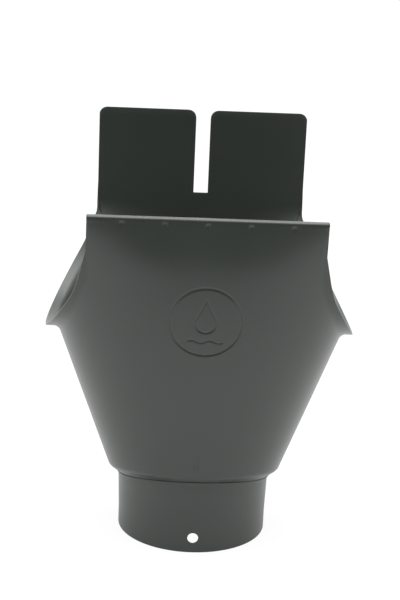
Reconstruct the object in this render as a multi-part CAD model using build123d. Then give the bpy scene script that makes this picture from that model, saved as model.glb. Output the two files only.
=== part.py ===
from build123d import *
from math import cos, pi, sin, sqrt
import os

os.makedirs("parts", exist_ok=True)

# A spout that hangs under a half-round roof gutter and leads the water into a downpipe.
# Millimetres. The origin is the middle of the outlet's lower rim, +Z is up,
# X runs along the gutter and the front of the spout faces -Y.

# Sheet of the hopper, and the outer radius of its folds
sheet = 0.9
bend_radius = 1.8

# Gutter that lies in the saddle
gutter_radius = 77.5
gutter_axis_height = 217.4

# Outlet tube: straight at its foot, then slightly wider up to the neck
rim_radius = 49.1
straight_height = 12.0
neck_radius = 50.0
tube_wall = 0.9
taper_height = 38.0
flange_reach = 4.0
flange_top = 52.0
screw_hole = 7.0
screw_hole_height = 10.0

# Hopper walls, from the neck up to the saddle
saddle_half_width = 92.0
side_slope = 0.371
front_reach = 83.0
rear_bulge = 79.6
neck_reach = 53.6
front_top = 227.8
face_upright = 208.0
face_bend = 190.0
face_slope = 0.11
face_curve = 0.00138
foot_squareness = 2.25
squareness_gain = 0.6
squareness_top_gain = 4.25
squareness_top_power = 14.0

# Shoulder between the hopper and the neck
shoulder_slope = 1.19
shoulder_side_height = 38.3
shoulder_face_height = 48.9
collar_foot = 46.1

# Lip on which the gutter rests, and the cut of the hopper's ends in the front view
lip_round = 5.0
lip_top = 212.0
lip_half_width = 99.0
lip_slant = 0.556
edge_width = 142.0
edge_round = 77.0

# Front edge, folded in towards the gutter
hook_rise = 4.0
hook_drop = 8.0
dimple_count = 5
dimple_pitch = 25.2
dimple_drop = 4.2
dimple_ball = 3.4
dimple_depth = 0.7

# Rear tabs, bent over the gutter's back edge when the spout is fitted
rear_reach = 79.0
tab_width = 142.0
tab_foot = 216.0
tab_top = 268.1
tab_corner = 5.5
slot_width = 9.8
slot_foot = 211.0

# Pressed mark above the neck
mark_width = 5.0
mark_foot = 60.5
mark_height = 12.0
mark_depth = 0.5

# Places that follow from the sizes above
saddle_height = gutter_axis_height - gutter_radius
wall_top = front_top - hook_rise
hopper_foot = shoulder_side_height - 5
near = 1.5 * lip_half_width
far = 2 * lip_half_width

# How finely the hopper's face is drawn
outline_points = 72
level_count = 12
level_crowding = 1.5


def slant_length(slope):
    return sqrt(1 + slope**2)


def half_width(z):
    return saddle_half_width + side_slope * (z - saddle_height)


def face_lean(z):
    # The front and back faces stand upright at the top, bend below it and lean in more towards the neck.
    if z >= face_upright:
        return 0
    if z >= face_bend:
        return face_slope * (face_upright - z) / (face_upright - face_bend)
    return face_slope + face_curve * (face_bend - z)


def face_drop(z):
    # How far the front face has come in at this height.
    if z >= face_bend:
        return face_lean(z) * max(0, face_upright - z) / 2
    bend = face_slope * (face_upright - face_bend) / 2
    return bend + (face_slope + face_lean(z)) * (face_bend - z) / 2


def half_depth(z, reach=front_reach):
    # Both faces stand equally deep at the neck, and reach this far at the top.
    share = (reach - neck_reach) / (front_reach - neck_reach)
    return reach - share * face_drop(z)


def squareness(z):
    rise = (z - hopper_foot) / (front_top - hopper_foot)
    return foot_squareness + squareness_gain * rise + squareness_top_gain * rise**squareness_top_power


def block(x, y, z):
    # A box between two limits on each axis.
    size = Box(x[1] - x[0], y[1] - y[0], z[1] - z[0])
    return Pos((x[0] + x[1]) / 2, (y[0] + y[1]) / 2, (z[0] + z[1]) / 2) * size


def upright(radius, low, high):
    return Pos(0, 0, (low + high) / 2) * Cylinder(radius, high - low)


def side_profile(points, width):
    # A plate of this width across the middle of the spout, drawn as (y, z) points.
    face = make_face(Polyline(*points, close=True))
    return extrude(Plane.YZ * face, width / 2, both=True)


def outline(z, inset):
    # A superellipse: nearly round at the neck and straight-faced at the top. Its back half is less deep.
    across = half_width(z) - inset * slant_length(side_slope)
    thick = inset * slant_length(face_lean(z))
    power = squareness(z)
    points = []
    for i in range(outline_points):
        turn = pi / 2 + 2 * pi * i / outline_points
        deep = half_depth(z, rear_bulge if sin(turn) > 0 else front_reach) - thick
        reach = (abs(cos(turn) / across) ** power + abs(sin(turn) / deep) ** power) ** (-1 / power)
        points.append(Vector(reach * cos(turn), reach * sin(turn), z))
    return make_face(Spline(*points, periodic=True))


def shoulder_cone(inset):
    # An elliptical funnel that turns the walls in to the neck. Its front stands higher than its sides.
    lift = inset * slant_length(shoulder_slope) / shoulder_slope

    def ring(z):
        across = neck_radius + shoulder_slope * (z - shoulder_side_height - lift)
        deep = neck_radius + shoulder_slope * (z - shoulder_face_height - lift)
        return Pos(0, 0, z) * Ellipse(across, deep)

    return loft([ring(hopper_foot), ring(front_top + bend_radius)], ruled=True)


def hopper_solid(inset):
    # The space inside a face that lies this far in from the hopper's outer face.
    # The levels lie closer together towards the top, where the outline changes most.
    levels = []
    for i in range(level_count):
        below_top = (1 - i / (level_count - 1)) ** level_crowding
        levels.append(front_top - (front_top - hopper_foot) * below_top)
    walls = loft([outline(z, inset) for z in levels])
    body = walls & shoulder_cone(inset)
    return body - block((-far, far), (rear_reach - inset, far), (0, 2 * front_top))


def along_gutter(radius):
    # The seam of this round solid lies on top, clear of the lip.
    return Pos(0, 0, gutter_axis_height) * Rot(0, -90, 0) * Cylinder(radius, 2 * far)


def flared_solid(inset):
    # The hopper's space joined to the gutter's space, with the round of the lip between them.
    # Near the top the hopper's faces run close beside the gutter, and there is no round.
    body = hopper_solid(inset) + along_gutter(gutter_radius + sheet - inset)
    below = body & block((-near, near), (-far, far), (0, lip_top))
    above = body & block((-near, near), (-far, far), (lip_top, 2 * front_top))
    lowest = saddle_height - sheet + inset
    starting_low = [e for e in below.edges() if abs(e.bounding_box().min.Z - lowest) < sheet / 2]
    crossing = [e for e in starting_low if abs(e.center().X) < lip_half_width]
    return fillet(crossing, lip_round + inset) + above


def front_view(margin):
    # The hopper as seen from the front, carried through from front to back.
    half = edge_width / 2 + margin
    knee = saddle_height + (lip_half_width + margin - half) / lip_slant
    low = saddle_height - (far - lip_half_width - margin) / lip_slant
    top = wall_top + margin
    points = [(half, top), (half, knee), (far, low), (-far, low), (-half, knee), (-half, top)]
    face = make_face(Polyline(*points, close=True))
    knees = [v for v in face.vertices() if abs(v.Y - knee) < sheet]
    return extrude(Plane.XZ * fillet(knees, edge_round), far, both=True)


def collar():
    # A short turned-down rim of the shoulder, seen only at the front and the back.
    ring = upright(neck_radius + sheet, collar_foot, flange_top) - upright(neck_radius, collar_foot, flange_top)
    return ring - shoulder_cone(sheet)


def hook():
    # The front edge: folded in to the gutter and down again.
    def profile(inset):
        top = front_top - inset
        front = -front_reach + inset
        inner = -gutter_radius - inset
        foot = front_top - hook_drop - inset
        points = [(front, wall_top - inset), (front, top), (inner, top), (inner, foot)]
        face = make_face(Polyline(*points, close=True))
        bends = [v for v in face.vertices() if abs(v.Y - top) < sheet / 4]
        return fillet(bends, bend_radius - inset)

    strip = profile(0) - profile(sheet)
    return extrude(Plane.YZ * strip, edge_width / 2, both=True)


def slot():
    half = slot_width / 2
    return block((-half, half), (0, 2 * rear_reach), (slot_foot, 2 * tab_top))


def tab(side):
    # A flat tab that carries the rear wall up past the gutter's back edge.
    across = sorted((side * slot_width / 2, side * tab_width / 2))
    plate = block(across, (rear_reach - sheet, rear_reach), (tab_foot, tab_top))
    corners = [e for e in plate.edges() if abs(e.center().Z - tab_top) < sheet and e.length < 2 * sheet]
    return fillet(corners, tab_corner)


def dimple(number, radius):
    # One of a row of round dents below the front edge.
    height = front_top - dimple_drop
    across = dimple_pitch * (number - (dimple_count - 1) / 2)
    out = -half_depth(height) + dimple_depth - dimple_ball
    return Pos(across, out, height) * Sphere(radius)


def mark(shallow, deep):
    # A narrow upright dent above the neck, between two depths under the front face.
    low = mark_foot
    high = mark_foot + mark_height
    points = [
        (shallow - half_depth(low), low),
        (deep - half_depth(low), low),
        (deep - half_depth(high), high),
        (shallow - half_depth(high), high),
    ]
    return side_profile(points, mark_width)


def joined(body, piece):
    return body.solid().fuse(piece.solid())


def hopper_body():
    # One sheet: walls, shoulder and lip first, then its folds, tabs and pressed marks.
    body = (flared_solid(0) & front_view(0)) - (flared_solid(sheet) & front_view(sheet))
    body += collar()
    body -= upright(neck_radius, 0, flange_top)
    body = joined(body, hook())
    for side in (-1, 1):
        body = joined(body, tab(side))
    body -= slot()
    wall_middle = sheet / 2 - half_depth(front_top - dimple_drop)
    inside = block((-far, far), (wall_middle, 0), (0, 2 * front_top))
    for number in range(dimple_count):
        body = joined(body, dimple(number, dimple_ball + sheet) & inside)
        body -= dimple(number, dimple_ball)
    body = joined(body, mark(sheet / 2, sheet + mark_depth))
    body -= mark(-sheet, mark_depth)
    return body


def outlet_tube():
    # A tapered tube whose turned-out top lies on the inside of the shoulder.
    def sides(inset):
        foot = upright(rim_radius - inset, 0, straight_height)
        middle = (straight_height + taper_height) / 2
        widening = Cone(rim_radius - inset, neck_radius - inset, taper_height - straight_height)
        return foot + Pos(0, 0, middle) * widening + upright(neck_radius - inset, taper_height, flange_top)

    flange = shoulder_cone(sheet) & upright(neck_radius + flange_reach, 0, flange_top)
    body = sides(0) + flange
    body -= sides(tube_wall)
    body -= shoulder_cone(sheet + tube_wall)
    hole = Pos(0, -rim_radius, screw_hole_height) * Rot(90, 0, 0) * Cylinder(screw_hole / 2, rim_radius)
    return body - hole


export_step(hopper_body(), "parts/hopper_body.step")
export_step(outlet_tube(), "parts/outlet_tube.step")
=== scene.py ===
# %% [markdown]
# A gutter spout hangs under a half-round roof gutter and leads the rain down into a round pipe.
# It is bent from one painted aluminium sheet, with a short tube pushed through its neck.
# This lesson starts from the plain solid model of the spout and gives it a smooth pressed skin,
# rounded sheet edges and a satin paint.

# %% Load the solid model
import bpy, bmesh
from math import atan2, cos, pi, radians, sin, sqrt
from mathutils import Matrix, Vector


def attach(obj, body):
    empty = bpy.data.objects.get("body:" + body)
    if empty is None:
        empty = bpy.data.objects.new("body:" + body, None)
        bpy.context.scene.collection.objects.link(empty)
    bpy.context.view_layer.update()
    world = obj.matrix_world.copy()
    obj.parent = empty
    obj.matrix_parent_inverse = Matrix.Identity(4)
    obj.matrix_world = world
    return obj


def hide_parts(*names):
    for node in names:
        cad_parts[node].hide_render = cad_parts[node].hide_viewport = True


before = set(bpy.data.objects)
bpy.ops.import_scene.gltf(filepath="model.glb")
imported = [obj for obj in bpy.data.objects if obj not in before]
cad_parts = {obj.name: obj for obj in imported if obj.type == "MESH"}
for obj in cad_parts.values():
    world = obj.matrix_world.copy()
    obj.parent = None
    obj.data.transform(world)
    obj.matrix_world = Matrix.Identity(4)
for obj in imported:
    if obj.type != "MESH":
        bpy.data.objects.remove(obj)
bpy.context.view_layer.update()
mm = 0.001

# %% [markdown]
# The real sizes of the spout, in millimetres. The origin is the middle of the tube's lower rim,
# X runs along the gutter and the front faces -Y.

# %% Sizes of the spout
sheet = 0.9
edge_round = 0.18
bend_radius = 1.8
gutter_outer = 78.4
gutter_axis = 217.4
neck_radius = 50.0
collar_foot = 46.1
lip_round = 5.0
front_top = 227.8
wall_top = 223.8
front_reach = 83.0
fold_depth = 5.5
fold_foot = 219.8
rear_plane = 79.0
edge_half = 71.0
slot_half = 4.9
slot_foot = 211.0
tab_top = 268.1
tab_corner = 5.5
rim_radius = 49.1
straight_height = 12.0
screw_hole_radius = 3.5
screw_hole_height = 10.0
print("the gutter lies", gutter_axis - gutter_outer, "mm above the tube's rim")

# %% [markdown]
# The camera stands a little left of the middle, above the spout, and looks down on its front.
# It is tipped by two and a half degrees, as a hand-held camera often is.

# %% Camera
def look_from(place, yaw, pitch, roll):
    ahead = Vector((sin(yaw) * cos(pitch), cos(yaw) * cos(pitch), -sin(pitch)))
    right = Vector((cos(yaw), -sin(yaw), 0))
    up = right.cross(ahead)
    tipped_right = cos(roll) * right + sin(roll) * up
    tipped_up = -sin(roll) * right + cos(roll) * up
    turn = Matrix((tipped_right, tipped_up, -ahead)).transposed().to_4x4()
    turn.translation = place
    return turn

camera_data = bpy.data.cameras.new("camera")
camera_data.lens = 86.39
camera_data.sensor_width = 36
camera_data.sensor_fit = "AUTO"
camera_data.clip_start = 0.05
camera_data.clip_end = 50
camera_place = Vector((-32.608, -900.0, 409.229)) * mm
camera_yaw, camera_pitch, camera_roll = radians(2.0735), radians(15.7181), radians(2.4347)
camera = bpy.data.objects.new("camera", camera_data)
camera.matrix_world = look_from(camera_place, camera_yaw, camera_pitch, camera_roll)
bpy.context.scene.collection.objects.link(camera)
bpy.context.scene.camera = camera
bpy.context.scene.view_settings.view_transform = "Standard"
print("camera lens", camera_data.lens, "mm")

# %% [markdown]
# A pale table carries the spout. It could be lit until it is white, but that would wash out the spout.
# So the camera is shown mostly plain white there, and a hint of the real shadow. Mirrored in the paint,
# the table is half plain white too, which lights the walls that lean out over it. The table ends half a
# metre in front of the spout: the upright sheet at the top mirrors the dim room beyond, and stays dark.

# %% Floor
def node(tree, kind, **inputs):
    made = tree.nodes.new(kind)
    for name, value in inputs.items():
        made.inputs[name.replace("_", " ")].default_value = value
    return made

table_half = 12.0
table_edge = 0.50
camera_white = 0.9
mirror_white = 0.5

floor_paint = bpy.data.materials.new("pale_floor")
floor_paint.use_nodes = True
tree = floor_paint.node_tree
tree.nodes.clear()
rays = tree.nodes.new("ShaderNodeLightPath")
matt = node(tree, "ShaderNodeBsdfDiffuse", Color=(0.86, 0.86, 0.86, 1))
white = node(tree, "ShaderNodeEmission", Color=(1, 1, 1, 1), Strength=1.0)
share = tree.nodes.new("ShaderNodeMath")
share.operation = "MULTIPLY"
share.inputs[1].default_value = camera_white
mirrored = tree.nodes.new("ShaderNodeMath")
mirrored.operation = "MULTIPLY_ADD"
mirrored.inputs[1].default_value = mirror_white
tree.links.new(rays.outputs["Is Glossy Ray"], mirrored.inputs[0])
tree.links.new(share.outputs[0], mirrored.inputs[2])
mixed = tree.nodes.new("ShaderNodeMixShader")
out = tree.nodes.new("ShaderNodeOutputMaterial")
tree.links.new(rays.outputs["Is Camera Ray"], share.inputs[0])
tree.links.new(mirrored.outputs[0], mixed.inputs[0])
tree.links.new(matt.outputs[0], mixed.inputs[1])
tree.links.new(white.outputs[0], mixed.inputs[2])
tree.links.new(mixed.outputs[0], out.inputs["Surface"])

floor_mesh = bpy.data.meshes.new("floor")
bm = bmesh.new()
bmesh.ops.create_grid(bm, x_segments=1, y_segments=1, size=table_half)
bmesh.ops.translate(bm, verts=bm.verts, vec=(0, table_half - table_edge, 0))
bm.to_mesh(floor_mesh)
bm.free()
floor = bpy.data.objects.new("floor", floor_mesh)
floor_mesh.materials.append(floor_paint)
bpy.context.scene.collection.objects.link(floor)
print("the table ends", table_edge, "m in front of the spout")

# %% [markdown]
# The room around is a plain pale world, bright at the back and the sides and dark towards the viewer,
# as behind a camera. The walls that turn away to the sides pick up its light, which draws the bright
# outlines. One broad soft lamp above the spout lights the table.

# %% World and lamps
world = bpy.data.worlds.new("studio")
bpy.context.scene.world = world
world.use_nodes = True
tree = world.node_tree
tree.nodes.clear()
rays = tree.nodes.new("ShaderNodeLightPath")
direction = tree.nodes.new("ShaderNodeTexCoord")
split = tree.nodes.new("ShaderNodeSeparateXYZ")
fade = tree.nodes.new("ShaderNodeMapRange")
fade.interpolation_type = "SMOOTHSTEP"
for socket, value in (("From Min", -0.98), ("From Max", -0.45), ("To Min", 0.0), ("To Max", 1.9)):
    fade.inputs[socket].default_value = value
tree.links.new(direction.outputs["Generated"], split.inputs["Vector"])
tree.links.new(split.outputs["Y"], fade.inputs["Value"])
room = node(tree, "ShaderNodeBackground", Color=(1, 1, 1, 1), Strength=0.75)
tree.links.new(fade.outputs["Result"], room.inputs["Strength"])
backdrop = node(tree, "ShaderNodeBackground", Color=(1, 1, 1, 1), Strength=1.0)
mixed = tree.nodes.new("ShaderNodeMixShader")
out = tree.nodes.new("ShaderNodeOutputWorld")
tree.links.new(rays.outputs["Is Camera Ray"], mixed.inputs[0])
tree.links.new(room.outputs[0], mixed.inputs[1])
tree.links.new(backdrop.outputs[0], mixed.inputs[2])
tree.links.new(mixed.outputs[0], out.inputs["Surface"])

def soft_lamp(name, place, aim, size, power):
    data = bpy.data.lights.new(name, "AREA")
    data.shape = "SQUARE"
    data.size = size
    data.energy = power
    lamp = bpy.data.objects.new(name, data)
    place = Vector(place)
    turn = (Vector(aim) - place).to_track_quat("-Z", "Y")
    lamp.matrix_world = Matrix.Translation(place) @ turn.to_matrix().to_4x4()
    bpy.context.scene.collection.objects.link(lamp)
    return lamp

soft_lamp("lamp_above", place=(0, 0, 1.6), aim=(0, 0, 0), size=1.2, power=24)

# %% [markdown]
# The paint is a satin anthracite with a touch of green. Coil-coated sheet is never quite even:
# its gloss drifts a little over a few centimetres, and a fine orange peel breaks up the reflections.
# An image of such a paint would do, but two noise textures cost less and have no seams.

# %% Satin paint
def satin_paint(name, colour, gloss_low, gloss_high):
    paint = bpy.data.materials.new(name)
    paint.use_nodes = True
    tree = paint.node_tree
    shader = tree.nodes["Principled BSDF"]
    shader.inputs["IOR"].default_value = 1.5
    shader.inputs["Coat Weight"].default_value = 0.0
    place = tree.nodes.new("ShaderNodeTexCoord")
    drift = node(tree, "ShaderNodeTexNoise", Scale=22.0, Detail=3.0, Roughness=0.55)
    peel = node(tree, "ShaderNodeTexNoise", Scale=1400.0, Detail=2.0, Roughness=0.5)
    shade = tree.nodes.new("ShaderNodeMix")
    shade.data_type = "RGBA"
    shade.inputs["A"].default_value = (*[c * 0.94 for c in colour], 1)
    shade.inputs["B"].default_value = (*[c * 1.06 for c in colour], 1)
    gloss = tree.nodes.new("ShaderNodeMapRange")
    gloss.inputs["To Min"].default_value = gloss_low
    gloss.inputs["To Max"].default_value = gloss_high
    bump = node(tree, "ShaderNodeBump", Strength=0.12, Distance=0.00004)
    tree.links.new(place.outputs["Object"], drift.inputs["Vector"])
    tree.links.new(place.outputs["Object"], peel.inputs["Vector"])
    tree.links.new(drift.outputs["Fac"], shade.inputs["Factor"])
    tree.links.new(drift.outputs["Fac"], gloss.inputs["Value"])
    tree.links.new(peel.outputs["Fac"], bump.inputs["Height"])
    tree.links.new(shade.outputs["Result"], shader.inputs["Base Color"])
    tree.links.new(gloss.outputs["Result"], shader.inputs["Roughness"])
    tree.links.new(bump.outputs["Normal"], shader.inputs["Normal"])
    return paint

anthracite = (0.020, 0.025, 0.021)
hopper_paint = satin_paint("satin_anthracite_sheet", anthracite, gloss_low=0.34, gloss_high=0.42)
tube_paint = satin_paint("satin_anthracite_tube", anthracite, gloss_low=0.34, gloss_high=0.42)
print("paints:", hopper_paint.name, tube_paint.name)

# %% [markdown]
# The hopper's walls change from nearly round at the neck to straight-faced at the top. They could be
# lofted between drawn sections, but a superellipse gives every section from one formula: its squareness
# grows with the height. The front and back faces stand upright at the top, bend below that and lean in
# towards the neck.

# %% Widths and depths of the walls
lip_height, lip_half_width, side_slope = 139.9, 90.7, 0.358
rear_bulge = 79.6
neck_depth = 53.6
face_upright, face_bend = 208.0, 190.0
face_slope, face_curve = 0.11, 0.00138

def half_width(z):
    return lip_half_width + side_slope * (z - lip_height)

def lean(z):
    if z >= face_upright:
        return 0.0
    if z >= face_bend:
        return face_slope * (face_upright - z) / (face_upright - face_bend)
    return face_slope + face_curve * (face_bend - z)

def drop(z):
    if z >= face_bend:
        return lean(z) * max(0.0, face_upright - z) / 2
    drop_of_bend = face_slope * (face_upright - face_bend) / 2
    return drop_of_bend + (face_slope + lean(z)) * (face_bend - z) / 2

def half_depth(z, reach):
    return reach - drop(z) * (reach - neck_depth) / (front_reach - neck_depth)

print("half width at the lip:", half_width(lip_height), "mm")
print("half depth at the top:", half_depth(220, front_reach), "mm")

# %% [markdown]
# Between 183 and 209 mm the back changes from the superellipse into one flat plane, which the tabs carry
# on. Both faces stay a hair inside the solid model, because the rounded cut edges stand out a little.

# %% Walls as a superellipse
front_play, rear_play = 0.07, 0.28
squareness_foot = 33.3
flat_from, flat_to = 183.0, 209.0

def squareness(z):
    rise = (z - squareness_foot) / (front_top - squareness_foot)
    return 2.25 + 0.6 * rise + 4.25 * max(rise, 0.0) ** 14

def eased(value, low, high):
    t = min(max((value - low) / (high - low), 0.0), 1.0)
    return t * t * (3 - 2 * t)

def wall_reach(turn, z):
    reach = front_reach - front_play if sin(turn) < 0 else rear_bulge
    power = squareness(z)
    across = abs(cos(turn) / half_width(z)) ** power
    deep = abs(sin(turn) / half_depth(z, reach)) ** power
    far = (across + deep) ** (-1 / power)
    if sin(turn) < 0.3:
        return far
    flat = eased(z, flat_from, flat_to) * eased(sin(turn), 0.58, 0.72)
    flat_far = rear_plane / sin(turn)
    return min(min(far, flat_far) * (1 - flat) + flat_far * flat, flat_far - rear_play)

def at(turn, far, z):
    return Vector((far * cos(turn), far * sin(turn), z))

def wall_point(turn, z):
    return at(turn, wall_reach(turn, z), z)

def wall_normal(turn, z):
    along = wall_point(turn + 0.001, z) - wall_point(turn - 0.001, z)
    upward = wall_point(turn, z + 0.1) - wall_point(turn, z - 0.1)
    return along.cross(upward).normalized()

print("squareness at the neck and at the top:", squareness(50.0), squareness(front_top))

# %% [markdown]
# Seen from the front, the sheet is cut to an outline: straight down from the front edge,
# a long hollow curve, then a straight slope out to the tips of the lip. At the back the cut stays
# straight for longer, below the tabs. The mesh could be cut with planes, but columns that simply
# end on the outline leave a clean row of edges for the lip.

# %% Outline of the cut sheet
hollow_top, hollow_foot, hollow_radius, hollow_middle = 210.22, 172.81, 77.0, 148.0
swell, swell_height, swell_reach = 1.2, 190.0, 20.2
tip_half, tip_slant = 99.0, 0.556
rear_cut_top, rear_cut_foot, rear_cut_curve, rear_cut_play = 201.0, 179.5, 0.01293, 0.02

def outline_half(z, y):
    if y > 0 and z > rear_cut_foot:
        return edge_half + rear_cut_play + rear_cut_curve * max(0.0, rear_cut_top - z) ** 2
    if z >= hollow_top:
        return edge_half
    if z >= hollow_foot:
        away = min(abs(z - swell_height) / swell_reach, 1.0)
        fuller = swell * (1 - away ** 2) ** 2 if y < 0 else 0.0
        return hollow_middle - sqrt(hollow_radius ** 2 - (hollow_top - z) ** 2) + fuller
    return tip_half - tip_slant * (z - lip_height)

print("outline half width at 180 mm:", round(outline_half(180, -80), 2), "mm")

# %% [markdown]
# The sheet is drawn as columns that climb from the neck to the cut edge. A column starts on the collar
# round the tube, passes a small rolled bead, turns out along the shoulder and rounds into the wall.
# The shoulder sits lower at the sides than at the front, so each column looks for its own heights.

# %% Neck and shoulder of one column
shoulder_slope, shoulder_side, shoulder_face = 1.19, 38.3, 48.9
bead_height = 0.9
bead_shape = ((0.0, 1.0), (0.34, 0.85), (0.5, 0.62), (0.42, 0.36), (0.14, 0.12), (0.05, 0.0))
corner_round, above_corner = 2.2, 2.6

def shoulder_reach(turn, z):
    across = neck_radius + shoulder_slope * (z - shoulder_side)
    deep = neck_radius + shoulder_slope * (z - shoulder_face)
    if across <= 0 or deep <= 0:
        return 0.0
    return 1 / sqrt((cos(turn) / across) ** 2 + (sin(turn) / deep) ** 2)

def height_where(test, low, high):
    for _ in range(40):
        middle = (low + high) / 2
        if test(middle):
            high = middle
        else:
            low = middle
    return (low + high) / 2

def rounded_corner(before, corner, after, size, steps):
    to_before, to_after = before - corner, after - corner
    start = corner + to_before.normalized() * min(size, to_before.length * 0.45)
    end = corner + to_after.normalized() * min(size, to_after.length * 0.45)
    parts = [k / steps for k in range(steps + 1)]
    return [(1 - t) ** 2 * start + 2 * t * (1 - t) * corner + t ** 2 * end for t in parts]

def neck_part(turn):
    collar = neck_radius + sheet
    crease = height_where(lambda z: shoulder_reach(turn, z) >= collar, 30.0, 60.0)
    foot = min(collar_foot, crease - 0.7)
    corner = height_where(lambda z: shoulder_reach(turn, z) >= wall_reach(turn, z), crease, 70.0)
    bend = at(turn, collar, crease)
    shoulder = at(turn, shoulder_reach(turn, corner), corner)
    height = min(bead_height, crease - foot)
    points = [at(turn, collar - 0.1, foot)]
    points += [at(turn, collar + out, crease - height * down) for out, down in bead_shape]
    points += [bend.lerp(shoulder, 0.6)]
    points += rounded_corner(bend, shoulder, wall_point(turn, corner + 8), corner_round, 5)
    return points, corner + above_corner

print("neck rows:", len(neck_part(0.3)[0]))

# %% [markdown]
# Higher up, a column climbs the wall. At the sides it then rolls outwards onto the gutter, as if over
# a ball that touches the wall and the gutter at once. A bevel along the cut could round that edge too,
# but only the rolling ball keeps the lip's round even where wall and gutter meet at changing angles.
# Close to the tabs there is no lip, and the column climbs on until the outline cuts it.

# %% Wall and lip of one column
wall_samples, lip_samples = 160, 24
flange_steps, flange_step = 24, 0.8
search_from, search_step = 20, 2
no_lip_half = edge_half + 3.6

def gutter_distance(p):
    return sqrt(p.y ** 2 + (p.z - gutter_axis) ** 2)

def ball_centre(turn, z):
    return wall_point(turn, z) + wall_normal(turn, z) * lip_round

def ball_touches(turn, z):
    return gutter_distance(ball_centre(turn, z)) < gutter_outer + lip_round

def lip_start(turn, start):
    if sin(turn) >= sin(atan2(rear_plane, no_lip_half)):
        return None
    z = start + search_from
    while z < slot_foot:
        if ball_touches(turn, z):
            return height_where(lambda h: ball_touches(turn, h), z - search_step, z)
        z += search_step
    return None

def lip_points(turn, contact, wall_end):
    centre = ball_centre(turn, contact)
    to_wall = (wall_end - centre).normalized()
    to_gutter = (Vector((centre.x, 0, gutter_axis)) - centre).normalized()
    opening = to_wall.angle(to_gutter)
    points = []
    for k in range(1, lip_samples + 1):
        part = opening * k / lip_samples
        direction = (to_wall * sin(opening - part) + to_gutter * sin(part)) / sin(opening)
        points.append(centre + direction * lip_round)
    last = points[-1]
    side = 1 if last.x > 0 else -1
    return points + [last + Vector((side * k * flange_step, 0, 0)) for k in range(1, flange_steps + 1)]

def cut_at_outline(points):
    kept = [points[0]]
    for a, b in zip(points, points[1:]):
        beyond = abs(b.x) - outline_half(b.z, b.y)
        if beyond > 0:
            before = abs(a.x) - outline_half(a.z, a.y)
            return kept + [a.lerp(b, before / (before - beyond))]
        kept.append(b)
    return kept

def wall_part(turn, start):
    contact = lip_start(turn, start)
    end = contact if contact is not None else slot_foot if sin(turn) > 0 else wall_top
    steps = [k / wall_samples for k in range(wall_samples + 1)]
    points = [wall_point(turn, start + (end - start) * t) for t in steps]
    if contact is not None:
        points += lip_points(turn, contact, points[-1])
    return cut_at_outline(points)

print("the lip starts at", round(lip_start(0.0, 50.0), 2), "mm at the side")

# %% [markdown]
# All columns need the same number of rows, or the rings between them wouldn't close. The last 13 mm
# of a column get rows of their own, close together, because the lip bends tightly there.

# %% Rows of a column
wall_rows = 50
lip_rows = 16
lip_band = 13.0

def row_lengths(total):
    plain = total - lip_band
    wall_part_rows = [plain * k / wall_rows for k in range(1, wall_rows)]
    return wall_part_rows + [plain + lip_band * k / lip_rows for k in range(lip_rows + 1)]

def spaced(points):
    travelled = [0.0]
    for a, b in zip(points, points[1:]):
        travelled.append(travelled[-1] + (b - a).length)
    result = []
    k = 0
    for wanted in row_lengths(travelled[-1]):
        while k < len(travelled) - 2 and travelled[k + 1] < wanted:
            k += 1
        gap = travelled[k + 1] - travelled[k]
        result.append(points[k].lerp(points[k + 1], (wanted - travelled[k]) / gap if gap > 0 else 0))
    return result

def column(turn):
    low, start = neck_part(turn)
    return low + spaced(wall_part(turn, start))

print("rows in a column:", len(column(0.0)))

# %% [markdown]
# The columns stand closer together where something fine happens: at the tabs' round corners,
# beside the slot and along the seam down the middle of the back.

# %% Directions of the columns
corner_steps = [tab_corner * (1 - cos(radians(15 * k))) for k in range(7)]
inner, outer = slot_half + tab_corner, edge_half - tab_corner
seam_places = [0.0, 0.3, 0.9, 2.6]
beside_places = [edge_half + s for s in (0.7, 1.6, 2.6, 3.5)]
tab_places = [slot_half + s for s in corner_steps]
tab_places += [inner + (outer - inner) * k / 22 for k in range(1, 22)]
tab_places += [edge_half - s for s in reversed(corner_steps)]
front_places = [edge_half * k / 45 for k in range(46)]
side_count = 64

def front_turn(x):
    turn = atan2(-82.5, x)
    for _ in range(20):
        turn = atan2(wall_point(turn, wall_top).y, x)
    return turn

rear_turns = [atan2(rear_plane, x) for x in seam_places + tab_places + beside_places]
front_turns = [front_turn(x) for x in front_places]
side_range = rear_turns[-1] - front_turns[-1]
side_turns = [front_turns[-1] + side_range * k / side_count for k in range(1, side_count)]
right_half = front_turns + side_turns + list(reversed(rear_turns))
left_half = [pi - t for t in reversed(right_half[1:-1])]
turns = right_half + left_half
print("columns:", len(turns))

# %% [markdown]
# A circle is the sheet's foot. Its edge is extruded once for every row, and each new ring is moved
# to its place on the columns. A number kept on every vertex says which column it belongs to, and
# the extrusion hands it on to the next ring.

# %% Extrude the hopper ring by ring
def grow(bm, edges):
    made = bmesh.ops.extrude_edge_only(bm, edges=edges)["geom"]
    new_verts = {g for g in made if isinstance(g, bmesh.types.BMVert)}
    new_edges = [g for g in made if isinstance(g, bmesh.types.BMEdge) and all(v in new_verts for v in g.verts)]
    return new_edges, new_verts

def extrude_columns(paths):
    bm = bmesh.new()
    number = bm.verts.layers.int.new("column")
    bmesh.ops.create_circle(bm, segments=len(paths), radius=neck_radius)
    bm.verts.ensure_lookup_table()
    for k, v in enumerate(bm.verts):
        v[number] = k
        v.co = paths[k][0]
    edges = list(bm.edges)
    for row in range(1, len(paths[0])):
        edges, new_verts = grow(bm, edges)
        for v in new_verts:
            v.co = paths[v[number]][row]
    return bm, edges

bm, edges = extrude_columns([column(t) for t in turns])
print("edges round the cut:", len(edges), "faces:", len(bm.faces))

# %% [markdown]
# The front edge is folded in over the gutter's bead and down again, so no raw edge faces the viewer.
# The same extrusion carries it round its two bends.

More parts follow.
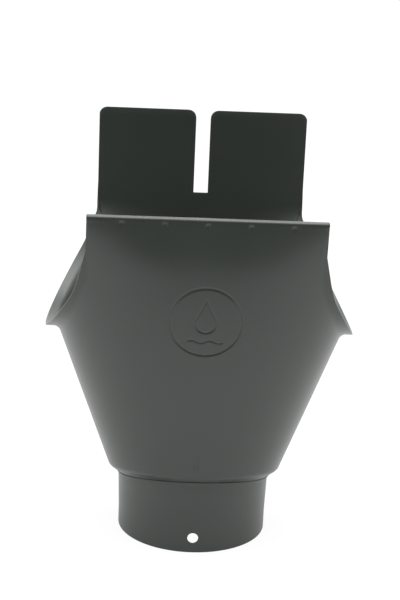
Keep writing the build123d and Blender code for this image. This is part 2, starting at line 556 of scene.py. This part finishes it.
# %% Fold the front edge
def bend_points(corner, before, after, radius, steps):
    centre = corner + before * radius + after * radius
    points = []
    for k in range(steps + 1):
        part = pi / 2 * k / steps
        points.append(centre - after * radius * cos(part) - before * radius * sin(part))
    return points

back, up = Vector((0, 1, 0)), Vector((0, 0, 1))
out_corner = Vector((0, front_play - front_reach, front_top))
in_corner = Vector((0, fold_depth - front_reach, front_top))
fold = bend_points(out_corner, -up, back, bend_radius, 6)
fold += bend_points(in_corner, -back, -up, bend_radius, 6)
fold += [in_corner - up * (front_top - z) for z in (223.0, fold_foot)]

grown = [e for e in edges if all(v.co.y < 0 and abs(v.co.z - wall_top) < 0.01 for v in e.verts)]
print("edges along the front:", len(grown))
for point in fold:
    grown, new_verts = grow(bm, grown)
    for v in new_verts:
        v.co.y = point.y
        v.co.z = point.z

# %% [markdown]
# Two flat tabs carry the back wall up past the gutter. When the spout is fitted they are bent over
# the gutter's back edge. Their corners are rounded so that they don't cut a hand.

# %% Raise the rear tabs
tab_rows = 10

def tab_height(x):
    near_edge = max(abs(x) - (edge_half - tab_corner), (slot_half + tab_corner) - abs(x), 0.0)
    near_edge = min(near_edge, tab_corner)
    return tab_top - tab_corner + sqrt(max(tab_corner ** 2 - near_edge ** 2, 0.0))

def under_a_tab(e):
    at_foot = all(v.co.y > rear_plane - 0.4 and abs(v.co.z - slot_foot) < 0.01 for v in e.verts)
    return at_foot and all(abs(v.co.x) > slot_half - 0.05 for v in e.verts) and abs(
        sum(v.co.x for v in e.verts)) > 2 * slot_half

grown = [e for e in edges if under_a_tab(e)]
print("edges along the tabs:", len(grown))
for k in range(1, tab_rows + 1):
    grown, new_verts = grow(bm, grown)
    for v in new_verts:
        v.co.z = slot_foot + (tab_height(v.co.x) - slot_foot) * k / tab_rows

# %% [markdown]
# Small marks are pressed into the finished sheet. The mesh is made finer around each of them first,
# so that the press leaves clean slopes. A bump texture would be quicker, but it leaves the shape flat
# from the side.

# %% Make the sheet finer where marks will be pressed
medal_x, medal_z, medal_radius = 1.2, 164.0, 22.3
notch_z = 66.5
dimple_places = [(25.2 * (k - 2), front_top - 4.2) for k in range(5)]

def refine(centre_x, centre_z, reach_x, reach_z, cuts):
    chosen = set()
    for f in bm.faces:
        c = f.calc_center_median()
        near = abs(c.x - centre_x) < reach_x and abs(c.z - centre_z) < reach_z
        if c.y < -40 and near and c.z < front_top - 0.3:
            chosen.update(f.edges)
    bmesh.ops.subdivide_edges(bm, edges=list(chosen), cuts=cuts, use_grid_fill=True)
    return len(chosen)

print("medal edges:", refine(medal_x, medal_z, 24.5, 24.5, 4))
for x, z in dimple_places:
    print("dimple edges:", refine(x, z, 3.4, 3.0, 3))
print("notch edges:", refine(0.0, notch_z, 4.2, 8.0, 2))
bmesh.ops.triangulate(bm, faces=[f for f in bm.faces if len(f.verts) > 4])
print("faces:", len(bm.faces))

# %% [markdown]
# The round place on the front holds a plain pressed ring with a water drop over a wave. A groove's
# depth follows a smooth hump across its width. The drop's edge is a circle below and the two straight
# lines from it to the tip above.

# %% Depths of the marks
def hump(distance, width):
    t = min(abs(distance) / (width / 2), 1.0)
    return (1 - t * t) ** 2

def drop_edge(x, z):
    radius, tip = 6.2, 14.5
    if z > 0:
        side = radius / tip
        if z > radius * side:
            return abs(x) * sqrt(1 - side * side) + (z - tip) * side
    return sqrt(x * x + z * z) - radius

def wave_edge(x, z):
    return z - 0.9 * sin(x * 2 * pi / 11.0)

def medal_depth(x, z):
    depth = 0.55 * hump(sqrt(x * x + z * z) - medal_radius + 0.6, 1.7)
    depth = max(depth, 0.50 * hump(drop_edge(x, z + 0.6), 1.5))
    if abs(x) < 12.0:
        fade = min(1.0, (12.0 - abs(x)) / 2.0)
        depth = max(depth, 0.42 * fade * hump(wave_edge(x, z + 12.6), 1.4))
    return depth

def dimple_depth(x, z):
    return 0.42 * hump(sqrt(x * x + z * z), 4.6)

def notch_depth(x, z):
    across = min(max((2.2 - abs(x)) / 0.7, 0.0), 1.0)
    along = min(max((6.0 - abs(z)) / 0.9, 0.0), 1.0)
    return 0.7 * across * along

print("deepest groove of the ring:", medal_depth(medal_radius - 0.6, 0), "mm")

# %% [markdown]
# The press moves every point inwards along the sheet's normal. The seam down the back is a fine line,
# pressed into the one column of points that runs there.

# %% Press the marks
seam_depth = 0.13

def pressed_depth(x, y, z):
    depth = 0.0
    if y < -40 and sqrt((x - medal_x) ** 2 + (z - medal_z) ** 2) < 24:
        depth = medal_depth(x - medal_x, z - medal_z)
    if y < -80 and z < 227:
        depth = max([depth] + [dimple_depth(x - px, z - pz) for px, pz in dimple_places])
    if y < -40 and 59 < z < 74 and abs(x) < 3:
        depth = notch_depth(x, z - notch_z)
    if y > 48 and 55 < z < slot_foot - 1 and abs(x) < 0.1:
        depth = seam_depth
    return depth

bm.normal_update()
depths = [(v, pressed_depth(*v.co)) for v in bm.verts]
moves = [(v, v.co - v.normal * depth) for v, depth in depths if depth > 0]
for v, place in moves:
    v.co = place
print("points pressed:", len(moves))

# %% [markdown]
# The sheet gets its thickness inwards, and every cut edge a tiny round that catches the light.
# Both are modifiers, so the skin stays one thin sheet that is easy to change.

# %% Thickness and soft edges of the hopper
def make_piece(name, bm, paint):
    bmesh.ops.scale(bm, vec=(mm, mm, mm), verts=bm.verts)
    for f in bm.faces:
        f.smooth = True
    mesh = bpy.data.meshes.new(name)
    bm.to_mesh(mesh)
    bm.free()
    mesh.materials.append(paint)
    piece = bpy.data.objects.new(name, mesh)
    bpy.context.scene.collection.objects.link(piece)
    return piece

def thicken(piece, even_normals):
    wall = piece.modifiers.new("thickness", "SOLIDIFY")
    wall.thickness = sheet * mm
    wall.offset = -1
    wall.use_quality_normals = even_normals

def soften(piece):
    soft = piece.modifiers.new("soft_edges", "BEVEL")
    soft.width = edge_round * mm
    soft.segments = 2
    soft.limit_method = "ANGLE"
    soft.angle_limit = radians(50)
    soft.use_clamp_overlap = False

hopper = make_piece("hopper_skin", bm, hopper_paint)
thicken(hopper, even_normals=True)
soften(hopper)
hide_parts("hopper_body")
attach(hopper, "root")
print("hopper faces:", len(hopper.data.polygons))

# %% [markdown]
# The outlet is a tube, straight at its foot and slightly wider above, pushed up through the neck.
# Its top is turned out and lies on the inside of the shoulder. It is extruded the same way as the hopper.

# %% Outlet tube
tube_bend_radius, flange_half = 49.95, 53.3

def inner_shoulder_height(turn, far):
    lift = sheet * sqrt(1 + shoulder_slope ** 2) / shoulder_slope
    return height_where(lambda z: shoulder_reach(turn, z - lift) >= far, 30.0, 62.0)

def tube_path(turn):
    points = [at(turn, rim_radius, z) for z in (0.0, 1.0, 4.0, 8.0, straight_height)]
    for z in (16.0, 20.0, 25.0, 30.0, 34.0):
        widening = (tube_bend_radius - rim_radius) * (z - straight_height) / 26.0
        points.append(at(turn, rim_radius + widening, z))
    low = at(turn, tube_bend_radius, 35.5)
    bend = at(turn, tube_bend_radius, inner_shoulder_height(turn, tube_bend_radius) + 0.05)
    high = at(turn, flange_half, min(inner_shoulder_height(turn, flange_half) + 0.05, 51.8))
    points += [low, low.lerp(bend, 0.5)]
    points += rounded_corner(low, bend, high, 0.8, 4)
    return points + [high]

tube_bm, rim = extrude_columns([tube_path(2 * pi * k / 192) for k in range(192)])
tube = make_piece("outlet_skin", tube_bm, tube_paint)
thicken(tube, even_normals=False)
print("tube faces:", len(tube.data.polygons), "edges round its top:", len(rim))

# %% [markdown]
# The screw hole is punched through the thickened wall with a round cutter, which is then removed.
# The result is kept as the tube's own mesh, so that only the soft edges are left as a modifier.

# %% Punch the screw hole
cutter_mesh = bpy.data.meshes.new("punch")
bm = bmesh.new()
bmesh.ops.create_cone(bm, cap_ends=True, segments=48, radius1=screw_hole_radius * mm,
                      radius2=screw_hole_radius * mm, depth=20 * mm)
bmesh.ops.rotate(bm, verts=bm.verts, matrix=Matrix.Rotation(pi / 2, 3, "X"))
bmesh.ops.translate(bm, verts=bm.verts, vec=Vector((0, -49, screw_hole_height)) * mm)
bm.to_mesh(cutter_mesh)
bm.free()
cutter = bpy.data.objects.new("punch", cutter_mesh)
bpy.context.scene.collection.objects.link(cutter)
punch = tube.modifiers.new("hole", "BOOLEAN")
punch.operation = "DIFFERENCE"
punch.solver = "EXACT"
punch.object = cutter
bpy.context.view_layer.update()
punched = bpy.data.meshes.new_from_object(tube.evaluated_get(bpy.context.evaluated_depsgraph_get()))
tube.modifiers.clear()
tube.data = punched
bpy.data.objects.remove(cutter)
soften(tube)
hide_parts("outlet_tube")
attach(tube, "root")
print("tube faces after the punch:", len(punched.polygons))
